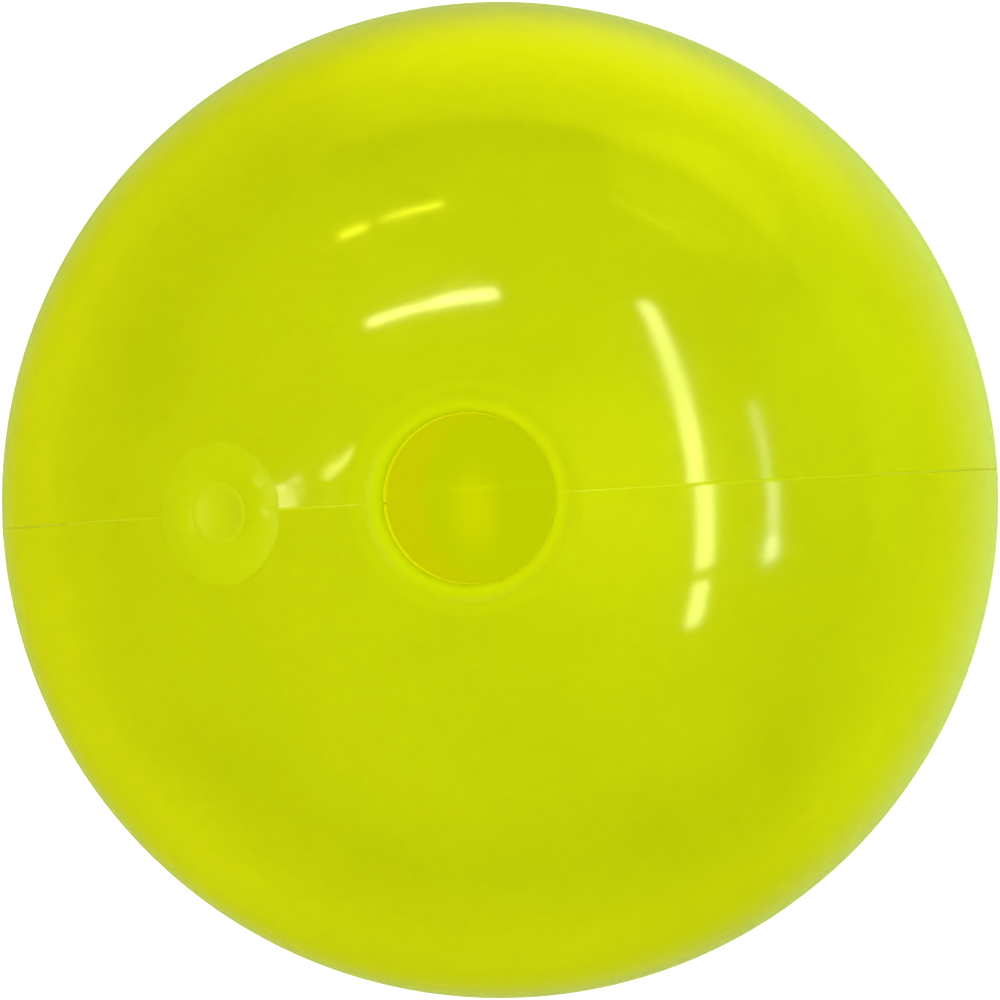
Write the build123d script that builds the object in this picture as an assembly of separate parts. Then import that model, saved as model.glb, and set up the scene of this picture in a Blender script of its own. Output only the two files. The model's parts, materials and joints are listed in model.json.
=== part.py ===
from build123d import *

import math
import os

# Hollow plastic ball, welded from two half shells. Sizes are in millimetres.
# The origin is the ball's centre. +Z runs out through the open hole, the seam lies in the XZ plane
# with the rear half on its +Y side, and the vent plug sits on the seam, towards -X from the hole.

# Ball
ball_radius = 37.0
wall = 1.5

# Seam between the halves
draft_latitude = 2.3  # degrees from the seam where the draft of each rim starts
weld_width = 0.14  # gap between the two rims, filled by the weld
weld_recess = 0.09  # how far the weld lies below the ridge of the rims
rim_chamfer = 0.05
tongue_thickness = 0.7
tongue_length = 1.3
tongue_clearance = 0.05
rebate_end_gap = 0.2

# Open hole
hole_radius = 5.45
lip_round = 1.7  # round of the hole's outer edge
collar_radius = 9.0  # thickened wall round the hole, inside the ball
collar_depth = 4.6  # from the top of the ball to the collar's inner face
collar_round = 0.8
inner_edge_round = 0.5  # round of the hole's inner edge

# Vent plug on the seam, and the weld round it
plug_angle = 26.3  # degrees from the hole's axis
plug_radius = 2.1
plug_length = 3.4
plug_chamfer = 0.3
plug_set_back = 0.15  # how far the plug's outer end lies below the top of the ball there
dimple_radius = 6.0
dimple_depth = 0.25
seat_radius = 4.6  # shallow recess round the plug, filled by its weld
seat_depth = 0.6
bead_crown = 0.1  # height of the weld's crown over the ball's surface
boss_radius = 6.0  # thickened wall round the plug, inside the ball
boss_depth = 2.6
boss_round = 0.5

# Sizes that follow from those above
inner_radius = ball_radius - wall
root_radius = inner_radius + wall / 2  # mid-wall, where the collar and the boss start
half_weld = weld_width / 2
draft = math.radians(draft_latitude)
ridge_radius = ball_radius / math.cos(draft)
tongue_radius = inner_radius + tongue_thickness
reach = 1.5 * ball_radius
lean = math.radians(plug_angle)
plug_frame = Plane(origin=(0, 0, 0), x_dir=(0, 1, 0), z_dir=(-math.sin(lean), 0, math.cos(lean)))
from_bottom = (Align.CENTER, Align.CENTER, Align.MIN)


def turned(outline, axis_plane, axis):
    """Solid of revolution of a closed outline drawn in axis_plane."""
    return revolve(axis_plane * make_face(outline), axis)


def drafted_ball():
    """Solid ball whose surface runs out straight to the seam from both sides, and meets in a low ridge."""
    diagonal = ball_radius / math.sqrt(2)
    top = (0, ball_radius)
    bottom = (0, -ball_radius)
    draft_top = (ball_radius * math.cos(draft), ball_radius * math.sin(draft))
    draft_bottom = (draft_top[0], -draft_top[1])
    ridge = (ridge_radius, 0)
    outline = ThreePointArc(top, (diagonal, diagonal), draft_top)
    outline += Line(draft_top, ridge)
    outline += Line(ridge, draft_bottom)
    outline += ThreePointArc(draft_bottom, (diagonal, -diagonal), bottom)
    outline += Line(bottom, top)
    return turned(outline, Plane.XY, Axis.Y)


def disc_on_seam(radius, y_low, y_high):
    """Solid disc about the Y axis."""
    return Pos(0, (y_low + y_high) / 2, 0) * Rot(90, 0, 0) * Cylinder(radius, y_high - y_low)


def seam_groove():
    """Cutter for the groove that the chamfers of the two rims leave on the ridge."""
    floor = ridge_radius - rim_chamfer
    top = ridge_radius + rim_chamfer
    flare = top - floor
    outline = Line((floor, half_weld), (top, half_weld + flare))
    outline += Line((top, half_weld + flare), (top, -half_weld - flare))
    outline += Line((top, -half_weld - flare), (floor, -half_weld))
    outline += Line((floor, -half_weld), (floor, half_weld))
    return turned(outline, Plane.XY, Axis.Y)


def hole_cutter():
    """Cutter for the open hole: straight wall, outer lip tangent to the ball, small round inside."""
    lip_r = hole_radius + lip_round
    to_lip = ball_radius - lip_round
    lip_z = math.sqrt(to_lip**2 - lip_r**2)
    outside = (lip_r * ball_radius / to_lip, lip_z * ball_radius / to_lip)
    middle = (math.pi + math.atan2(lip_z, lip_r)) / 2
    lip_middle = (lip_r + lip_round * math.cos(middle), lip_z + lip_round * math.sin(middle))
    top = (outside[0], reach)
    inner_z = ball_radius - collar_depth
    edge_z = inner_z + inner_edge_round
    edge_r = hole_radius + inner_edge_round
    bend = inner_edge_round * (1 - math.sqrt(0.5))
    bottom_z = inner_z - collar_depth
    outline = Line((0, reach), top)
    outline += Line(top, outside)
    outline += ThreePointArc(outside, lip_middle, (hole_radius, lip_z))
    outline += Line((hole_radius, lip_z), (hole_radius, edge_z))
    outline += ThreePointArc((hole_radius, edge_z), (hole_radius + bend, inner_z + bend), (edge_r, inner_z))
    outline += Line((edge_r, inner_z), (edge_r, bottom_z))
    outline += Line((edge_r, bottom_z), (0, bottom_z))
    outline += Line((0, bottom_z), (0, reach))
    return turned(outline, Plane.XZ, Axis.Z)


def thickening(frame, radius, depth, edge_round):
    """Round pad on the inside of the wall, its inner face flat and its edge rounded."""
    pad = Pos(0, 0, ball_radius - depth) * Cylinder(radius, depth, align=from_bottom)
    pad = fillet(pad.edges().group_by(Axis.Z)[0], edge_round)
    return frame * pad & Sphere(root_radius)


def plug_space(radius, depth):
    """Cutter about the plug's axis, from depth below the top of the ball outwards."""
    return plug_frame * Pos(0, 0, ball_radius - depth) * Cylinder(radius, reach, align=from_bottom)


def whole_shell():
    """Both halves and the weld as one solid, before it is parted at the seam."""
    shell = drafted_ball() - Sphere(inner_radius)
    shell += thickening(Plane.XY, collar_radius, collar_depth, collar_round)
    shell += thickening(plug_frame, boss_radius, boss_depth, boss_round)
    shell -= seam_groove()
    shell -= hole_cutter()
    shell -= plug_space(seat_radius, seat_depth)
    shell -= plug_space(plug_radius, plug_length)
    return shell


def beside_thickenings(solid, clearance):
    """What is left of a solid on the seam clear of the collar and the boss."""
    around_hole = Cylinder(collar_radius + clearance, reach, align=from_bottom)
    around_plug = plug_frame * Cylinder(boss_radius + clearance, reach, align=from_bottom)
    return solid - around_hole - around_plug


def half_space(side):
    """Everything on one side of the seam, past the weld."""
    depth = reach - half_weld
    return Pos(0, side * (half_weld + depth / 2), 0) * Box(2 * reach, depth, 2 * reach)


def plug():
    """Round plug with a dimpled outer end."""
    top = ball_radius - plug_set_back
    body = Pos(0, 0, ball_radius - plug_length) * Cylinder(
        plug_radius, plug_length - plug_set_back, align=from_bottom
    )
    body = chamfer(body.edges().group_by(Axis.Z)[0], plug_chamfer)
    body -= Pos(0, 0, top + dimple_radius - dimple_depth) * Sphere(dimple_radius)
    return plug_frame * body


def plug_weld():
    """Ring of melted plastic in the recess round the plug, with a low crown."""
    floor = ball_radius - seat_depth
    inner = (plug_radius, math.sqrt(ball_radius**2 - plug_radius**2) - plug_set_back / 2)
    outer = (seat_radius, math.sqrt(ball_radius**2 - seat_radius**2))
    middle_r = (plug_radius + seat_radius) / 2
    crown = (middle_r, math.sqrt(ball_radius**2 - middle_r**2) + bead_crown)
    outline = Line((plug_radius, floor), (seat_radius, floor))
    outline += Line((seat_radius, floor), outer)
    outline += ThreePointArc(outer, crown, inner)
    outline += Line(inner, (plug_radius, floor))
    ring = turned(outline, Plane.XZ, Axis.Z)
    return plug_frame * ring


shell = whole_shell()
tongue_disc = disc_on_seam(tongue_radius, -half_weld, tongue_length)
rebate_disc = disc_on_seam(tongue_radius + tongue_clearance, -half_weld, tongue_length + rebate_end_gap)
tongue = beside_thickenings(shell & tongue_disc, tongue_clearance)
rebate = beside_thickenings(rebate_disc, 0)
web = shell & disc_on_seam(ridge_radius - weld_recess, -half_weld, half_weld)

nodes = {
    "front_half_shell": (shell & half_space(-1)) + tongue,
    "rear_half_shell": (shell & half_space(1)) - rebate,
    "seam_weld": web - beside_thickenings(tongue_disc, tongue_clearance),
    "vent_plug": plug(),
    "plug_weld_ring": plug_weld(),
}

os.makedirs("parts", exist_ok=True)
for name, solid in nodes.items():
    export_step(solid, f"parts/{name}.step")
    print(name, len(solid.solids()), round(solid.volume, 2))
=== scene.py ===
import json
import math

import bmesh
import bpy
from mathutils import Matrix, Vector, noise


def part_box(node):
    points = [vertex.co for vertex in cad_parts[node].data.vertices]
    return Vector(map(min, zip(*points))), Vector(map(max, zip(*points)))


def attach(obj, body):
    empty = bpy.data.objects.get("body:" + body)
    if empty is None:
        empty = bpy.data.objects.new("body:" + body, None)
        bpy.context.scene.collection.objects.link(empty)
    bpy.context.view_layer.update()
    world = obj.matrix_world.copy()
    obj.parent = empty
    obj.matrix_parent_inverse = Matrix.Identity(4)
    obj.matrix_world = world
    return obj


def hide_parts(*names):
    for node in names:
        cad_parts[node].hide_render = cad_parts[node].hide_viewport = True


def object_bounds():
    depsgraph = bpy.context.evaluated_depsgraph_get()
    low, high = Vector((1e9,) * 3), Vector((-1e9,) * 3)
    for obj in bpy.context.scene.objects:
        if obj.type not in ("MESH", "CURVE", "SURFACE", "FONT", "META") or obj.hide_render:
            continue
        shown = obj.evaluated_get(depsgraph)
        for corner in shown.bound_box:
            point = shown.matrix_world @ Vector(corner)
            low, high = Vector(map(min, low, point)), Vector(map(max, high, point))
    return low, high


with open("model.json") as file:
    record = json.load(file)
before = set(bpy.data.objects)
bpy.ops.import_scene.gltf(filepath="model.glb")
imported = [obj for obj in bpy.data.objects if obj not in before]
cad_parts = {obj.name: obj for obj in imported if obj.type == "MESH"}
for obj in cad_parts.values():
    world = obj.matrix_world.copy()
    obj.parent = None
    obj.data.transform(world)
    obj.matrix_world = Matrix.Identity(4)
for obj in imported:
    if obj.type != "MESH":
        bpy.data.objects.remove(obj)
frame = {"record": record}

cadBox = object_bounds()
mm = 0.001
tiny = 0.0001 * mm  # points nearer than this are one
scene = bpy.context.scene


def say(stage):
    print("ball:", stage)


# What the shells and the pieces let into them share. The pack gives what it can, the rest is as designed.
ball = {
    "radius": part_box("rear_half_shell")[1].y,
    "ridge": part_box("rear_half_shell")[1].x,  # where the rims meet the seam
    "wall": 1.5 * mm,
    "draftLatitude": math.radians(2.3),  # the rims run straight to the seam from here
    "rimGap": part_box("rear_half_shell")[0].y,  # from the seam's middle to a rim
    "rimBevel": 0.03 * mm,
    "turnSteps": 240,
    "outerSteps": 120,  # from the lip to the bottom
    "innerSteps": 90,
}
openHole = next(m for m in frame["record"]["mounts"] if m["name"] == "open_hole")
hole = {
    "radius": openHole["dims"]["r_mm"] * mm,
    "lipRound": 1.7 * mm,
    "lipSteps": 14,
    "collarRadius": 9.0 * mm,
    "collarDepth": 4.6 * mm,
    "collarRound": 0.8 * mm,
    "edgeRound": 0.5 * mm,
    "edgeSteps": 5,
    "lipFoot": 0.1,  # share of the lip's round, from below, that has the painted glow finish of the hole's wall
}
lipX = hole["radius"] + hole["lipRound"]  # middle of the lip's round, which touches the ball from inside
lipZ = math.sqrt((ball["radius"] - hole["lipRound"]) ** 2 - lipX ** 2)
seat = {
    "lean": math.radians(26.3),  # from the open hole's axis
    "radius": 4.6 * mm,
    "depth": 0.6 * mm,
    "plugRadius": 2.1 * mm,
    "bossRadius": 6.0 * mm,
    "bossDepth": 2.6 * mm,
    "bossRound": 0.5 * mm,
    "bossSteps": 4,
}
joint = {
    "tongueThick": 0.7 * mm,
    "tongueLength": 1.3 * mm,
    "sideGap": 0.05 * mm,
    "endGap": 0.2 * mm,
    "drumSteps": 256,
}
upright = Matrix.Identity(4)
alongPlug = Matrix.Rotation(-seat["lean"], 4, "Y")
acrossSeam = Matrix.Rotation(-math.pi / 2, 4, "X")
farOut = 2 * ball["radius"]


# Half sections are drawn with edges in the XZ plane, and turned about Z.
def lineTo(bm, vert, x, z):
    end = bm.verts.new((x, 0, z))
    bm.edges.new((vert, end))
    return end


def arcTo(bm, vert, x, z, angle, steps):
    drawn = bmesh.ops.spin(
        bm, geom=[vert], cent=(x, 0, z), axis=(0, 1, 0), dvec=(0, 0, 0),
        angle=angle, steps=steps, use_merge=False,
    )
    return next(g for g in drawn["geom_last"] if isinstance(g, bmesh.types.BMVert))


def turnAboutZ(bm, steps):
    bmesh.ops.spin(
        bm, geom=bm.verts[:] + bm.edges[:], cent=(0, 0, 0), axis=(0, 0, 1), dvec=(0, 0, 0),
        angle=2 * math.pi, steps=steps, use_merge=True,
    )
    bmesh.ops.remove_doubles(bm, verts=bm.verts[:], dist=tiny)
    bmesh.ops.recalc_face_normals(bm, faces=bm.faces[:])


def cutAcross(bm, y):
    everything = bm.verts[:] + bm.edges[:] + bm.faces[:]
    bmesh.ops.bisect_plane(bm, geom=everything, dist=tiny, plane_co=(0, y, 0), plane_no=(0, 1, 0))


def uneven(place, length):
    # smooth random height from -1 to 1 that is the same each run
    return noise.noise(place / length)


def toObject(bm, name):
    mesh = bpy.data.meshes.new(name)
    bm.to_mesh(mesh)
    bm.free()
    obj = bpy.data.objects.new(name, mesh)
    scene.collection.objects.link(obj)
    return obj


def copyOf(obj, name):
    made = bpy.data.objects.new(name, obj.data.copy())
    scene.collection.objects.link(made)
    return made


def combine(obj, other, operation):
    # boolean with another object, which is used up
    modifier = obj.modifiers.new("combine", "BOOLEAN")
    modifier.object = other
    modifier.operation = operation
    modifier.solver = "EXACT"
    bpy.context.view_layer.update()
    result = bpy.data.meshes.new_from_object(obj.evaluated_get(bpy.context.evaluated_depsgraph_get()))
    obj.modifiers.clear()
    obj.data = result
    bpy.data.objects.remove(other)
    return obj


def drum(radius, low, high, turn, footRound=0):
    bm = bmesh.new()
    bmesh.ops.create_cone(
        bm, cap_ends=True, segments=joint["drumSteps"], radius1=radius, radius2=radius, depth=high - low
    )
    bmesh.ops.translate(bm, verts=bm.verts[:], vec=(0, 0, (low + high) / 2))
    if footRound:
        middle = (low + high) / 2
        foot = [e for e in bm.edges if max(v.co.z for v in e.verts) < middle]
        bmesh.ops.bevel(
            bm, geom=foot, offset=footRound, segments=seat["bossSteps"], profile=0.5,
            affect="EDGES", material=-1,
        )
    bmesh.ops.transform(bm, matrix=turn, verts=bm.verts[:])
    return toObject(bm, "drum")


def block(low, high):
    # everything between two planes along Y
    bm = bmesh.new()
    bmesh.ops.create_cube(bm, size=1)
    bmesh.ops.scale(bm, verts=bm.verts[:], vec=(2 * farOut, high - low, 2 * farOut))
    bmesh.ops.translate(bm, verts=bm.verts[:], vec=(0, (low + high) / 2, 0))
    return toObject(bm, "block")


def shadeSmooth(obj, sharpAngle=math.radians(30)):
    bm = bmesh.new()
    bm.from_mesh(obj.data)
    for face in bm.faces:
        face.smooth = True
    for edge in bm.edges:
        edge.smooth = len(edge.link_faces) == 2 and edge.calc_face_angle(0) < sharpAngle
    bm.to_mesh(obj.data)
    bm.free()


def wholeBall():
    # lip, outside, inside and collar, with the low ridge that the drafted rims make at the seam
    radius, inner = ball["radius"], ball["radius"] - ball["wall"]
    lipLean = math.atan2(lipX, lipZ)
    collarZ = radius - hole["collarDepth"]
    collarFlat = hole["collarRadius"] - hole["collarRound"]
    bm = bmesh.new()
    start = bm.verts.new((hole["radius"] + hole["edgeRound"], 0, collarZ))
    v = arcTo(bm, start, start.co.x, collarZ + hole["edgeRound"], math.pi / 2, hole["edgeSteps"])
    v = lineTo(bm, v, hole["radius"], lipZ)
    v = arcTo(bm, v, lipX, lipZ, math.pi / 2 + lipLean, hole["lipSteps"])
    arcTo(bm, v, 0, 0, math.pi - lipLean, ball["outerSteps"])
    v = bm.verts.new((0, 0, -inner))
    v = arcTo(bm, v, 0, 0, math.asin(hole["collarRadius"] / inner) - math.pi, ball["innerSteps"])
    v = lineTo(bm, v, hole["collarRadius"], collarZ + hole["collarRound"])
    v = arcTo(bm, v, collarFlat, collarZ + hole["collarRound"], math.pi / 2, hole["edgeSteps"])
    bm.edges.new((v, start))
    turnAboutZ(bm, ball["turnSteps"])

    draftY = radius * math.sin(ball["draftLatitude"])
    bevelY = ball["rimGap"] + ball["rimBevel"]
    for y in (-draftY, -bevelY, bevelY, draftY):
        cutAcross(bm, y)
    for v in bm.verts:
        y = abs(v.co.y)
        if y < draftY and v.co.length > radius - hole["lipRound"] / 2:
            fromHole = math.hypot(v.co.x, v.co.y) if v.co.z > 0 else radius
            share = (fromHole - hole["radius"]) / hole["lipRound"] - 0.5  # the ridge dies out on the lip
            share = min(max(share, 0), 1)
            ridge = ball["ridge"] + (ball["rimGap"] - y) * math.tan(ball["draftLatitude"])
            grow = 1 + share * (ridge / math.sqrt(radius ** 2 - y ** 2) - 1)
            v.co.x *= grow
            v.co.z *= grow
    whole = toObject(bm, "wholeBall")

    bossLow = radius - seat["bossDepth"]
    midWall = radius - ball["wall"] / 2
    bossHigh = math.sqrt(midWall ** 2 - seat["bossRadius"] ** 2)
    combine(whole, drum(seat["bossRadius"], bossLow, bossHigh, alongPlug, seat["bossRound"]), "UNION")
    combine(whole, drum(seat["radius"], radius - seat["depth"], farOut, alongPlug), "DIFFERENCE")
    return combine(whole, drum(seat["plugRadius"], 0, farOut, alongPlug), "DIFFERENCE")


def lapDrum(radius, length, padGap):
    # room of the tongue, or of the rebate that takes it, clear of the collar and the boss
    lap = drum(radius, -2 * length, length, acrossSeam)
    combine(lap, drum(hole["collarRadius"] + padGap, 0, farOut, upright), "DIFFERENCE")
    return combine(lap, drum(seat["bossRadius"] + padGap, 0, farOut, alongPlug), "DIFFERENCE")


def bevelRim(shell):
    bm = bmesh.new()
    bm.from_mesh(shell.data)
    for v in bm.verts:
        onRim = abs(abs(v.co.y) - ball["rimGap"]) < ball["rimBevel"] / 2
        if onRim and v.co.length > ball["radius"] - ball["rimBevel"] / 2:
            v.co *= 1 - ball["rimBevel"] / v.co.length
    bm.to_mesh(shell.data)
    bm.free()


whole = wholeBall()
say("whole ball")
tongueRadius = ball["radius"] - ball["wall"] + joint["tongueThick"]
tongue = lapDrum(tongueRadius, joint["tongueLength"], joint["sideGap"])
rebate = lapDrum(tongueRadius + joint["sideGap"], joint["tongueLength"] + joint["endGap"], 0)
frontRoom = combine(block(-farOut, -ball["rimGap"]), copyOf(tongue, "tongue"), "UNION")
rearRoom = combine(block(ball["rimGap"], farOut), rebate, "DIFFERENCE")
frontShell = combine(copyOf(whole, "frontShell"), frontRoom, "INTERSECT")
rearShell = combine(copyOf(whole, "rearShell"), rearRoom, "INTERSECT")
for shell in (frontShell, rearShell):
    bevelRim(shell)
    shadeSmooth(shell)
say("half shells")


# Thin web of melted plastic between the rims.
weld = {
    "recess": 0.03 * mm,  # below the ridge
    "crown": 0.015 * mm,
    "uneven": 0.012 * mm,
    "unevenLength": 2.5 * mm,
    "sharpAngle": math.radians(50),
}
seamWeld = combine(copyOf(whole, "seamWeld"), block(-ball["rimGap"], ball["rimGap"]), "INTERSECT")
combine(seamWeld, tongue, "DIFFERENCE")
bm = bmesh.new()
bm.from_mesh(seamWeld.data)
cutAcross(bm, 0)
top = ball["ridge"] - weld["recess"]
for v in bm.verts:
    if v.co.length > top:
        height = weld["uneven"] * uneven(v.co, weld["unevenLength"])
        if abs(v.co.y) < ball["rimGap"] / 2:
            height += weld["crown"]
        v.co *= (top + height) / v.co.length
bm.to_mesh(seamWeld.data)
bm.free()
shadeSmooth(seamWeld, weld["sharpAngle"])
bpy.data.objects.remove(whole)
say("seam weld")


# Plug with a dimpled end, which closes the vent.
plug = {
    "length": 3.4 * mm,
    "chamfer": 0.3 * mm,
    "setBack": 0.15 * mm,
    "dimpleRadius": 6.0 * mm,
    "dimpleDepth": 0.25 * mm,
    "dimpleSteps": 14,
    "edgeRound": 0.1 * mm,
    "edgeSteps": 5,
    "uneven": 0.012 * mm,
    "unevenLength": 0.9 * mm,
    "steps": 128,
}


def ventPlugPiece():
    top = ball["radius"] - plug["setBack"]
    low = ball["radius"] - plug["length"]
    side = seat["plugRadius"]
    dimpleZ = top - plug["dimpleDepth"] + plug["dimpleRadius"]
    dimpleAngle = math.acos(1 - plug["dimpleDepth"] / plug["dimpleRadius"])
    bm = bmesh.new()
    v = bm.verts.new((0, 0, top - plug["dimpleDepth"]))
    v = arcTo(bm, v, 0, dimpleZ, -dimpleAngle, plug["dimpleSteps"])
    v = lineTo(bm, v, side - plug["edgeRound"], top)
    v = arcTo(bm, v, v.co.x, top - plug["edgeRound"], math.pi / 2, plug["edgeSteps"])
    v = lineTo(bm, v, side, low + plug["chamfer"])
    v = lineTo(bm, v, side - plug["chamfer"], low)
    lineTo(bm, v, 0, low)
    turnAboutZ(bm, plug["steps"])
    for v in bm.verts:
        if v.co.z > top - 2 * plug["dimpleDepth"]:
            v.co.z += plug["uneven"] * uneven(v.co, plug["unevenLength"])
    bmesh.ops.transform(bm, matrix=alongPlug, verts=bm.verts[:])
    return toObject(bm, "ventPlug")


ventPlug = ventPlugPiece()
shadeSmooth(ventPlug)
say("vent plug")


# Melted ring round the plug, a little uneven on top.
bead = {
    "crown": 0.06 * mm,
    "crownPower": 1.5,  # above 1 the crown's flanks are hollow
    "dip": 0.8,  # how far the top follows the plug down at its edge, as a share of the plug's set-back
    "dipPower": 4,
    "feather": 0.08 * mm,  # how far the melt runs out over the shell and over the plug
    "featherThick": 0.004 * mm,
    "uneven": 0.03 * mm,
    "unevenLength": 1.1 * mm,
    "across": 34,
    "steps": 220,
}


def acrossBead(x):
    # share of the way from the inner edge to the outer one, and the crown's rise there, from 0 to 1
    inX, outX = seat["plugRadius"] - bead["feather"], seat["radius"] + bead["feather"]
    along = (x - inX) / (outX - inX)
    return along, 4 * along * (1 - along)


def beadTop(x):
    # height of the smooth top at a distance from the plug's axis: plug's edge, crown, then the ball
    along, rise = acrossBead(x)
    onBall = math.sqrt(ball["radius"] ** 2 - x ** 2)
    dip = bead["dip"] * plug["setBack"] * (1 - along) ** bead["dipPower"]
    return onBall - dip + bead["crown"] * rise ** bead["crownPower"] + bead["featherThick"]


def plugWeldRingPiece():
    inX, outX = seat["plugRadius"] - bead["feather"], seat["radius"] + bead["feather"]
    seatZ = ball["radius"] - seat["depth"]
    bm = bmesh.new()
    start = bm.verts.new((seat["plugRadius"], 0, seatZ))
    v = lineTo(bm, start, seat["plugRadius"], beadTop(seat["plugRadius"]) - bead["feather"] / 2)
    v = lineTo(bm, v, inX, beadTop(inX))
    v = lineTo(bm, v, outX, beadTop(outX))
    topEdge = v.link_edges[0]
    v = lineTo(bm, v, seat["radius"], beadTop(seat["radius"]) - bead["feather"] / 2)
    v = lineTo(bm, v, seat["radius"], seatZ)
    bm.edges.new((v, start))
    split = bmesh.ops.subdivide_edges(bm, edges=[topEdge], cuts=bead["across"])
    crossing = [g for g in split["geom_inner"] if isinstance(g, bmesh.types.BMVert)]
    for v in crossing:
        v.co.z = beadTop(v.co.x)
    turnAboutZ(bm, bead["steps"])
    for v in bm.verts:
        x = math.hypot(v.co.x, v.co.y)
        if inX < x < outX and abs(v.co.z - beadTop(x)) < bead["featherThick"] / 2:  # only the top is lumpy
            along, rise = acrossBead(x)
            lumps = uneven(v.co, bead["unevenLength"]) + 0.5 * uneven(v.co, bead["unevenLength"] / 2)
            v.co.z += bead["uneven"] * lumps * rise
    bmesh.ops.transform(bm, matrix=alongPlug, verts=bm.verts[:])
    return toObject(bm, "plugWeldRing")


plugWeldRing = plugWeldRingPiece()
shadeSmooth(plugWeldRing)
say("weld round the plug")


# Materials: one translucent fluorescent plastic in six finishes, which share these values. The sizes of
# the noise are in millimetres.
pigment = {
    "cloudSize": 14,
    "speckSize": 1.1,
    "speckShare": 0.25,
    "noise": (0.3, 0.7),  # gives the dark and the light colour
}
wear = {
    "wornSize": 6,
    "wornNoise": (0.45, 0.75),  # where the worn patches start and where they are full
    "wornRough": 0.05,
    "scratchRough": 0.06,
    "scratchLong": 0.02,  # scale of the noise along a scratch, against that across it
    "scratchDeep": 0.3,
    "scratchEdge": 0.03,
    "scratchesA": ((0.3, 0.2, 0.9), 0.05 * mm, 0.27),  # turn, width, and share of the noise that makes lines
    "scratchesB": ((1.2, 0.7, 2.3), 0.04 * mm, 0.26),
}
relief = {
    "peelStrength": 0.25,
    "peelHeight": 0.004 * mm,
    "scratchStrength": 0.2,
    "scratchDepth": 0.002 * mm,
}
resin = {
    "ior": 1.5,
    "scatterTint": (1, 1, 0.3),
    "glowTint": (1, 1, 0, 1),
}


def put(tree, kind, inputs, **settings):
    node = tree.nodes.new(kind)
    for key, value in settings.items():
        setattr(node, key, value)
    for key, value in inputs.items():
        if isinstance(value, bpy.types.NodeSocket):
            tree.links.new(value, node.inputs[key])
        else:
            node.inputs[key].default_value = value
    return node


def speckle(tree, place, size, detail=3):
    # noise with blotches of a size in millimetres, from 0 to 1
    inputs = {"Vector": place, "Scale": 1 / (size * mm), "Detail": detail}
    return put(tree, "ShaderNodeTexNoise", inputs).outputs[0]


def spread(tree, value, low, high, newLow=0, newHigh=1, kind="LINEAR"):
    inputs = {0: value, 1: low, 2: high, 3: newLow, 4: newHigh}
    return put(tree, "ShaderNodeMapRange", inputs, interpolation_type=kind).outputs[0]


def vectorMath(tree, operation, first, second):
    return put(tree, "ShaderNodeVectorMath", {0: first, 1: second}, operation=operation)


def scratches(tree, place, turn, width, share):
    # long thin lines along one direction, 1 on a line and 0 beside it
    stretch = (1 / width, wear["scratchLong"] / width, wear["scratchDeep"] / width)
    inputs = {"Vector": place, "Rotation": turn, "Scale": stretch}
    turned = put(tree, "ShaderNodeMapping", inputs).outputs[0]
    lines = put(tree, "ShaderNodeTexNoise", {"Vector": turned, "Scale": 1, "Detail": 1}).outputs[0]
    return spread(tree, lines, 1 - share, 1 - share + wear["scratchEdge"])


def blendColour(tree, share, low, high):
    return put(tree, "ShaderNodeMix", {0: share, 6: low, 7: high}, data_type="RGBA").outputs[2]


def patchShare(tree, place, patch):
    # 1 in the middle of a soft-edged round patch, 0 outside it
    away = vectorMath(tree, "SUBTRACT", place, patch["centre"]).outputs[0]
    scaled = vectorMath(tree, "DIVIDE", away, patch["reach"]).outputs[0]
    distance = put(tree, "ShaderNodeVectorMath", {0: scaled}, operation="LENGTH").outputs["Value"]
    return spread(tree, distance, 1, 1 - patch["soft"], kind="SMOOTHSTEP")


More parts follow.
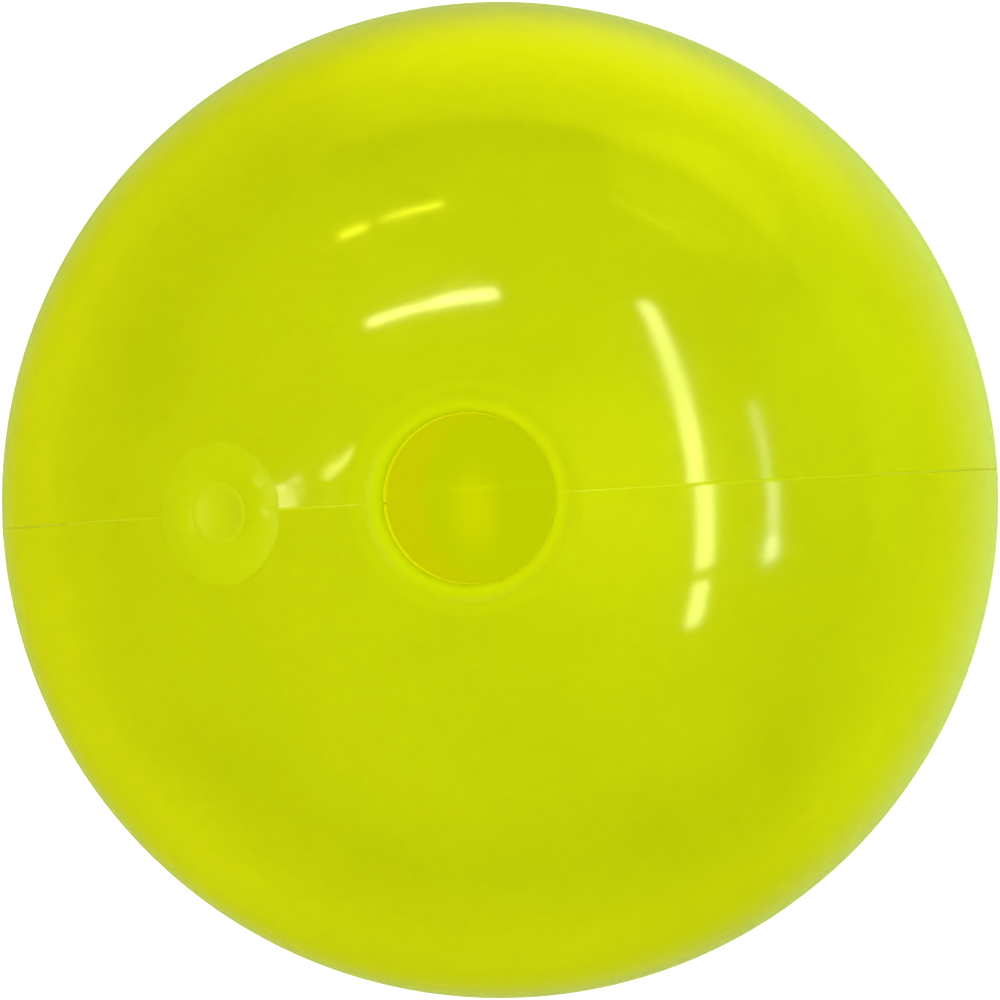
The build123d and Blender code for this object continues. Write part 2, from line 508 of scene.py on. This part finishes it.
def plastic(name, dark, light, rough, lumps, scatter=0, glow=0, gloss=0.5, patches=()):
    mat = bpy.data.materials.new(name)
    mat.use_nodes = True
    tree = mat.node_tree
    shader = tree.nodes["Principled BSDF"]
    place = tree.nodes.new("ShaderNodeTexCoord").outputs["Object"]

    # pigment: broad clouds and a fine speckle
    clouds = speckle(tree, place, pigment["cloudSize"])
    specks = speckle(tree, place, pigment["speckSize"], 2)
    part = pigment["speckShare"]
    fine = put(tree, "ShaderNodeMath", {0: specks, 1: part}, operation="MULTIPLY").outputs[0]
    inputs = {0: clouds, 1: 1 - part, 2: fine}
    blend = put(tree, "ShaderNodeMath", inputs, operation="MULTIPLY_ADD").outputs[0]
    mix = spread(tree, blend, *pigment["noise"])
    colour = blendColour(tree, mix, (*dark, 1), (*light, 1))
    # painted light, shade and reflection: soft round patches laid over the pigment
    for patch in patches:
        colour = blendColour(tree, patchShare(tree, place, patch), colour, (*patch["colour"], 1))
    tree.links.new(colour, shader.inputs["Base Color"])

    # handling: worn patches and hairline scratches, rougher than the moulded skin
    worn = spread(tree, speckle(tree, place, wear["wornSize"], 4), *wear["wornNoise"], 0, wear["wornRough"])
    hairA = scratches(tree, place, *wear["scratchesA"])
    hairB = scratches(tree, place, *wear["scratchesB"])
    hair = put(tree, "ShaderNodeMath", {0: hairA, 1: hairB}, operation="MAXIMUM").outputs[0]
    base = put(tree, "ShaderNodeMath", {0: worn, 1: rough}, operation="ADD").outputs[0]
    inputs = {0: hair, 1: wear["scratchRough"], 2: base}
    total = put(tree, "ShaderNodeMath", inputs, operation="MULTIPLY_ADD").outputs[0]
    tree.links.new(total, shader.inputs["Roughness"])

    # relief: the mould's faint orange peel, then the scratches
    peel = speckle(tree, place, lumps, 2)
    inputs = {"Height": peel, "Strength": relief["peelStrength"], "Distance": relief["peelHeight"]}
    skin = put(tree, "ShaderNodeBump", inputs).outputs[0]
    inputs = {"Height": hair, "Strength": relief["scratchStrength"], "Distance": relief["scratchDepth"]}
    cut = put(tree, "ShaderNodeBump", {**inputs, "Normal": skin}, invert=True).outputs[0]
    tree.links.new(cut, shader.inputs["Normal"])

    shader.inputs["IOR"].default_value = resin["ior"]
    shader.inputs["Specular IOR Level"].default_value = gloss
    shader.inputs["Subsurface Weight"].default_value = 1 if scatter else 0
    shader.inputs["Subsurface Radius"].default_value = resin["scatterTint"]
    shader.inputs["Subsurface Scale"].default_value = scatter
    # painted glow: emission that stands in for light let through the wall
    shader.inputs["Emission Color"].default_value = resin["glowTint"]
    shader.inputs["Emission Strength"].default_value = glow
    return mat


# Painted light: the rim of the open hole is painted lighter, as light comes into it from two sides. Through
# the hole the far wall has a painted greener round area of shade, and in it a painted reflection, a lighter
# soft spot.
# painted light: a lighter base colour round the open hole's rim, where it would otherwise fall into shade
lipPaintedLight = {
    "centre": (0, 0, ball["radius"]),
    "reach": (6.7 * mm, 6.7 * mm, 9 * mm),
    "soft": 0.2,
    "colour": (0.55, 0.635, 0.001),
}
# painted shade: a greener round area on the far inner wall, seen through the hole
farPaintedShade = {
    "centre": (-2.1 * mm, 0.6 * mm, -ball["radius"]),
    "reach": (8.4 * mm, 10 * mm, 9 * mm),
    "soft": 0.35,
    "colour": (0.50, 0.635, 0.001),
}
# painted reflection: a lighter soft spot on the far inner wall, where the hole's opening would be mirrored
farPaintedReflection = {
    "centre": (-4.3 * mm, -0.5 * mm, -ball["radius"]),
    "reach": (3.2 * mm, 5.6 * mm, 9 * mm),
    "soft": 0.9,
    "colour": (0.67, 0.725, 0.001),
}
shellPlastic = plastic(
    "shellPlastic", dark=(0.35, 0.395, 0.001), light=(0.385, 0.435, 0.001),
    rough=0.09, lumps=2.2, scatter=0.25 * mm, patches=(lipPaintedLight,),
)
# painted glow: the cavity's skin glows and is lighter, standing in for the light that comes through the wall
shellInsidePaintedGlow = plastic(
    "shellInsidePaintedGlow", dark=(0.565, 0.58, 0.001), light=(0.60, 0.615, 0.001),
    rough=0.4, lumps=2.2, scatter=0.25 * mm, glow=0.25, patches=(farPaintedShade, farPaintedReflection),
)
lipPlastic = plastic(
    "lipPlastic", dark=(0.35, 0.395, 0.001), light=(0.385, 0.435, 0.001),
    rough=0.25, lumps=2.2, scatter=0.25 * mm, gloss=0.12, patches=(lipPaintedLight,),
)
seamPlastic = plastic(
    "seamPlastic", dark=(0.345, 0.395, 0.001), light=(0.38, 0.44, 0.001),
    rough=0.3, lumps=0.9, gloss=0.08, patches=(lipPaintedLight,),
)
weldPlastic = plastic(
    "weldPlastic", dark=(0.32, 0.37, 0.001), light=(0.355, 0.412, 0.001), rough=0.16, lumps=0.9, gloss=0.3
)
plugPlastic = plastic(
    "plugPlastic", dark=(0.33, 0.375, 0.001), light=(0.36, 0.41, 0.001), rough=0.35, lumps=0.9, gloss=0.12
)


def shareFaces(shell):
    # the cavity's own skin takes the second material, whose painted glow and lighter colour stand in for the
    # light that comes through the wall, and the hole's lip the third, which is duller
    inner = tongueRadius + 2 * joint["sideGap"]
    lipLow = lipZ + hole["lipFoot"] * hole["lipRound"]
    lipOut = lipX * ball["radius"] / (ball["radius"] - hole["lipRound"])
    for face in shell.data.polygons:
        centre = Vector(face.center)
        if centre.z > lipLow and math.hypot(centre.x, centre.y) < lipOut:
            face.material_index = 2
        else:
            face.material_index = 1 if centre.length < inner else 0


for piece, node, slot, finishes in (
    (frontShell, "front_half_shell", "shell", (shellPlastic, shellInsidePaintedGlow, lipPlastic)),
    (rearShell, "rear_half_shell", "shell", (shellPlastic, shellInsidePaintedGlow, lipPlastic)),
    (seamWeld, "seam_weld", "weld", (seamPlastic,)),
    (ventPlug, "vent_plug", "plug", (plugPlastic,)),
    (plugWeldRing, "plug_weld_ring", "weld", (weldPlastic,)),
):
    piece.data.materials.clear()
    for finish in finishes:
        piece.data.materials.append(finish)
    if len(finishes) > 1:
        shareFaces(piece)
    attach(piece, "root")
    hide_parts(node)
say("materials")


# Pale floor. It lights the ball, and the room's lower half stands for it in the gloss.
floor = {
    "half": 1.6,
    "colour": (0.92, 0.92, 0.92, 1),
    "roughness": 0.6,
}


def plainPaint(name, inputs):
    mat = bpy.data.materials.new(name)
    mat.use_nodes = True
    for key, value in inputs.items():
        mat.node_tree.nodes["Principled BSDF"].inputs[key].default_value = value
    return mat


bm = bmesh.new()
bmesh.ops.create_grid(bm, x_segments=1, y_segments=1, size=floor["half"])
bmesh.ops.translate(bm, verts=bm.verts[:], vec=(0, 0, cadBox[0][2]))
floorPiece = toObject(bm, "floor")
floorPaint = plainPaint("floorPaint", {"Base Color": floor["colour"], "Roughness": floor["roughness"]})
floorPiece.data.materials.append(floorPaint)
floorPiece.visible_glossy = False

# Backdrop: the pale surround past the floor's edge, which only the camera sees.
backdrop = {
    "radius": 2.6,
    "light": (1, 1, 1, 1),
}
bm = bmesh.new()
bmesh.ops.create_icosphere(bm, subdivisions=3, radius=backdrop["radius"])
surround = toObject(bm, "backdrop")
paper = plainPaint("backdropPaper", {
    "Base Color": (0, 0, 0, 1),
    "Specular IOR Level": 0,
    "Emission Color": backdrop["light"],
    "Emission Strength": 1,
})
paper.cycles.emission_sampling = "NONE"
surround.data.materials.append(paper)
surround.visible_diffuse = False
surround.visible_glossy = False
surround.visible_transmission = False
surround.visible_shadow = False

# Room: a dim upper half, the lit floor below the horizon, and soft patches of light on ceiling and walls.
room = {
    "upper": (0.2, 0.2, 0.01),
    "farFloor": (0.5, 0.5, 0.01),
    "floor": (1.35, 1.3, 0.01),
    "underBall": (0.53, 0.62, 0.02),  # what is left of it close to the ball
    # where each starts and is full, as heights of the unit direction
    "horizon": (-0.03, -0.09),
    "nearFloor": (-0.1, -0.5),
    "shade": (-0.5, -0.95),
    "floorGlows": {
        "floorTop": {"azimuth": 74, "elevation": -14, "reach": 48, "light": (1.5, 1.4, 0.01)},
        "floorRight": {"azimuth": 10, "elevation": -35, "reach": 60, "light": (0.35, 0.5, 0.01)},
        "floorNear": {"azimuth": 40, "elevation": -78, "reach": 52, "light": (0.0, 0.0, 0.22)},
    },
    "glows": {
        "ceilingRight": {"azimuth": 0, "elevation": 60, "reach": 30, "light": (1.1, 0.9, 0.02)},
        "ceilingMiddle": {"azimuth": 0, "elevation": 78, "reach": 15, "light": (0.4, 0.4, 0.02)},
        "wallFarRight": {"azimuth": 54, "elevation": 0, "reach": 19, "light": (1.2, 1.2, 0.01), "soft": 0.4},
        "wallRight": {"azimuth": 14, "elevation": 0, "reach": 30, "light": (0.6, 1.2, 0.01)},
    },
}


def addGlows(tree, direction, total, glows):
    # round patches of light, each about a direction of its own, fading all the way unless soft says less
    for glow in glows.values():
        aim = Vector((1, 0, 0))
        aim.rotate(Matrix.Rotation(math.radians(-glow["elevation"]), 3, "Y"))
        aim.rotate(Matrix.Rotation(math.radians(glow["azimuth"]), 3, "Z"))
        nearness = vectorMath(tree, "DOT_PRODUCT", direction, aim).outputs["Value"]
        edge = math.cos(math.radians(glow["reach"]))
        full = math.cos(math.radians(glow["reach"] * (1 - glow.get("soft", 1))))
        share = spread(tree, nearness, edge, full, kind="SMOOTHSTEP")
        inputs = {0: glow["light"], "Scale": share}
        light = put(tree, "ShaderNodeVectorMath", inputs, operation="SCALE").outputs[0]
        total = vectorMath(tree, "ADD", total, light).outputs[0]
    return total


def blendLight(tree, share, low, high):
    return put(tree, "ShaderNodeMix", {0: share, 4: low, 5: high}, data_type="VECTOR").outputs[1]


def roomLight():
    world = bpy.data.worlds.new("room")
    scene.world = world
    world.use_nodes = True
    tree = world.node_tree
    direction = tree.nodes.new("ShaderNodeTexCoord").outputs["Generated"]
    height = put(tree, "ShaderNodeSeparateXYZ", {0: direction}).outputs["Z"]
    below = spread(tree, height, *room["horizon"], kind="SMOOTHSTEP")
    nearer = spread(tree, height, *room["nearFloor"])
    shaded = spread(tree, height, *room["shade"])
    low = blendLight(tree, nearer, room["farFloor"], room["floor"])
    low = blendLight(tree, shaded, low, room["underBall"])
    low = addGlows(tree, direction, low, room["floorGlows"])
    total = blendLight(tree, below, room["upper"], low)
    total = addGlows(tree, direction, total, room["glows"])
    tree.links.new(total, tree.nodes["Background"].inputs["Color"])


roomLight()

# Strip lamps on a ceiling, which are only mirrored: place and size along X and Y in metres, and radiance.
ceiling = 2.0
warm = (1, 1, 0.45)
white = (1, 1, 0.8)
amber = (1, 0.95, 0.05)
pale = (1, 1, 0.3)
strips = {
    "rightNearA": {"at": (2.06, 1.22), "size": (0.3, 2.08), "turn": 3, "radiance": 11, "colour": warm},
    "rightNearB": {"at": (2.25, -0.38), "size": (0.33, 1.0), "turn": 2, "radiance": 11, "colour": warm},
    "rightNearC": {"at": (2.24, -1.31), "size": (0.31, 0.56), "turn": -2, "radiance": 11, "colour": warm},
    "rightFarA": {"at": (3.98, 0.72), "size": (0.34, 0.9), "turn": 8, "radiance": 5, "colour": white},
    "rightFarB": {"at": (4.3, -0.33), "size": (0.55, 0.86), "turn": 4, "radiance": 6, "colour": white},
    "rightFarC": {"at": (4.32, -1.03), "size": (0.62, 0.42), "turn": 0, "radiance": 11, "colour": white},
    "topNearA": {"at": (-0.72, 1.86), "size": (0.75, 0.11), "turn": 8, "radiance": 20, "colour": warm},
    "topNearB": {"at": (-0.1, 1.96), "size": (0.62, 0.16), "turn": 7, "radiance": 22, "colour": warm},
    "topFarA": {"at": (-2.1, 4.7), "size": (0.55, 0.32), "turn": 3, "radiance": 22, "colour": amber},
    "topFarB": {"at": (-1.05, 4.92), "size": (1.05, 0.26), "turn": 11, "radiance": 21, "colour": amber},
    "topFaint": {"at": (4.2, 6.6), "size": (2.4, 0.25), "turn": -30, "radiance": 5, "colour": amber},
    "leftA": {"at": (-2.05, 0.19), "size": (0.26, 0.06), "turn": 10, "radiance": 22, "colour": warm},
    "leftTip": {"at": (-1.78, 0.25), "size": (0.22, 0.05), "turn": 20, "radiance": 14, "colour": warm},
    "leftB": {"at": (-1.2, 0.36), "size": (0.4, 0.09), "turn": 22, "radiance": 10, "colour": pale},
}

# Soft lights, which only light and aren't mirrored. One of them hangs below the ceiling.
softLights = {
    "overhead": {"at": (-0.25, -0.05), "size": (2.8, 2.8), "radiance": 4.08, "colour": (1, 1, 1.15)},
    "fillRight": {"at": (1.8, 0), "low": 1.0, "size": (1.0, 1.0), "radiance": 2.0, "colour": (0.15, 1, 0.1)},
}


def areaLight(name, lamp, mirrored):
    sizeX, sizeY = lamp["size"]
    light = bpy.data.lights.new(name, "AREA")
    light.shape = "RECTANGLE"
    light.size = sizeX
    light.size_y = sizeY
    light.color = lamp["colour"]
    light.energy = lamp["radiance"] * math.pi * sizeX * sizeY
    obj = bpy.data.objects.new(name, light)
    scene.collection.objects.link(obj)
    obj.location = (*lamp["at"], ceiling - lamp.get("low", 0))
    obj.rotation_euler.z = math.radians(lamp.get("turn", 0))
    obj.visible_glossy = mirrored
    obj.visible_diffuse = not mirrored


for name, lamp in strips.items():
    areaLight(name, lamp, mirrored=True)
for name, lamp in softLights.items():
    areaLight(name, lamp, mirrored=False)
say("lights")

# Camera over the ball, looking almost straight into the open hole.
view = {
    "distance": 6 * ball["radius"],
    "leanX": math.radians(3.25),
    "leanY": math.radians(-0.4),
    "roll": math.radians(3.5),
    "ballShare": 0.9966,  # width of the ball's outline, as a share of the frame's
    "sensor": 36,
    "clipStart": 0.01,
}
towards = Vector((math.sin(view["leanX"]), math.sin(view["leanY"]), 0))
towards.z = math.sqrt(1 - towards.length_squared)
right = (Vector((1, 0, 0)) - towards * towards.x).normalized()
up = towards.cross(right)
turned = Matrix.Rotation(-view["roll"], 3, towards)
right, up = turned @ right, turned @ up
outline = math.tan(math.asin(ball["radius"] / view["distance"]))
cameraData = bpy.data.cameras.new("camera")
cameraData.sensor_width = view["sensor"]
cameraData.lens = cameraData.sensor_width / 2 * view["ballShare"] / outline
cameraData.clip_start = view["clipStart"]
camera = bpy.data.objects.new("camera", cameraData)
axes = Matrix((right, up, towards)).transposed().to_4x4()
camera.matrix_world = Matrix.Translation(towards * view["distance"]) @ axes
scene.collection.objects.link(camera)
scene.camera = camera
scene.view_settings.view_transform = "Standard"
say("camera")
